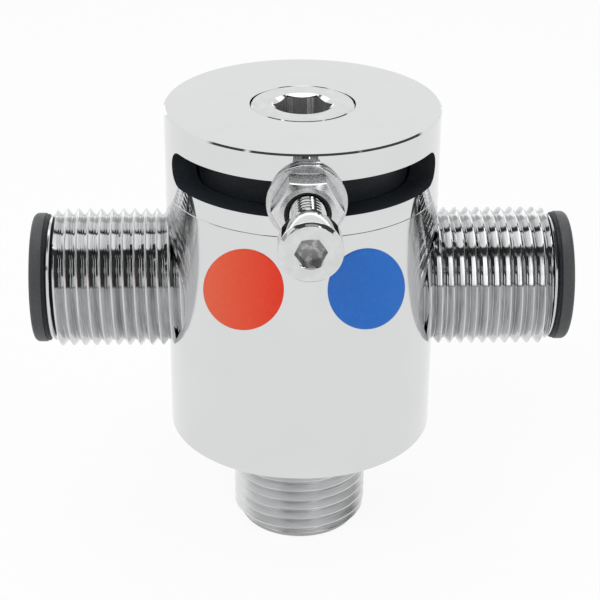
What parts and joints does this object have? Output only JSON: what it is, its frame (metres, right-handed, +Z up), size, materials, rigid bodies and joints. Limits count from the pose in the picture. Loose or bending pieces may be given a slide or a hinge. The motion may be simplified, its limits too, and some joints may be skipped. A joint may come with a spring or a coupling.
{
  "type": "mechanical mixing valve",
  "caption": "Round chromed mixing valve with side inlet threads, an outlet thread below and a lever screw in a front slot that sets and locks the hot and cold mix.",
  "frame": {"origin": "middle of the outlet's end face", "axes": "+Z up along the body, +X out of the cold inlet, the lever points to -Y at rest"},
  "size_m": [0.0638, 0.0456, 0.0548],
  "materials": {
    "chrome_body": "mirror polished plating",
    "chrome_thread": "plated thread",
    "chrome_hardware": "bright plated",
    "bright_steel": "drawn bright",
    "black_moulding": "as moulded",
    "black_rubber": "matt",
    "white_bearing": "smooth",
    "valve_moulding": "as moulded",
    "brass": "machined",
    "red_mark": "glossy enamel",
    "blue_mark": "glossy enamel"
  },
  "bodies": {
    "housing": {"valve_body": "chrome_body", "slotted_cap": "chrome_body", "locating_pin": "bright_steel", "axle_screw": "chrome_hardware", "outlet_nipple": "chrome_thread", "hot_dot": "red_mark", "cold_dot": "blue_mark", "inlet_nipple_hot": "chrome_thread", "inlet_gasket_hot": "black_rubber", "filter_hot": "black_moulding", "check_housing_hot": "valve_moulding", "check_seal_hot": "black_rubber", "check_guide_hot": "valve_moulding", "check_spring_hot": "bright_steel", "inlet_nipple_cold": "chrome_thread", "inlet_gasket_cold": "black_rubber", "filter_cold": "black_moulding", "check_housing_cold": "valve_moulding", "check_seal_cold": "black_rubber", "check_guide_cold": "valve_moulding", "check_spring_cold": "bright_steel"},
    "lever": {"mixing_rotor": "black_moulding", "rotor_seal": "black_rubber", "axle_seal": "black_rubber", "thrust_washer": "white_bearing", "lever_insert": "brass", "lever_screw": "chrome_hardware"},
    "washer": {"lock_washer": "chrome_hardware"},
    "nut": {"lock_nut": "chrome_hardware"},
    "hot_poppet": {"check_poppet_hot": "valve_moulding", "poppet_seal_hot": "black_rubber"},
    "cold_poppet": {"check_poppet_cold": "valve_moulding", "poppet_seal_cold": "black_rubber"}
  },
  "joints": [
    {"name": "lever_turn", "type": "hinge", "parent": "housing", "child": "lever", "pos_m": [0, 0, 0.0495], "axis": [0, 0, 1], "range_deg": [-61, 61]},
    {"name": "washer_slide", "type": "slide", "parent": "lever", "child": "washer", "axis": [0, -1, 0], "range_m": [0, 0.0007]},
    {"name": "nut_turn", "type": "hinge", "parent": "washer", "child": "nut", "pos_m": [0, -0.01835, 0.0495], "axis": [0, -1, 0], "range_deg": [0, 360]},
    {"name": "hot_check_lift", "type": "slide", "parent": "housing", "child": "hot_poppet", "axis": [1, 0, 0], "range_m": [0, 0.002], "stiffness_N_per_m": 60, "springref_m": -0.002, "deforming": ["check_spring_hot"]},
    {"name": "cold_check_lift", "type": "slide", "parent": "housing", "child": "cold_poppet", "axis": [-1, 0, 0], "range_m": [0, 0.002], "stiffness_N_per_m": 60, "springref_m": -0.002, "deforming": ["check_spring_cold"]}
  ],
  "couplings": [
    {"joint": "nut_turn", "follows": "washer_slide", "rad_per_m": 8976}
  ]
}
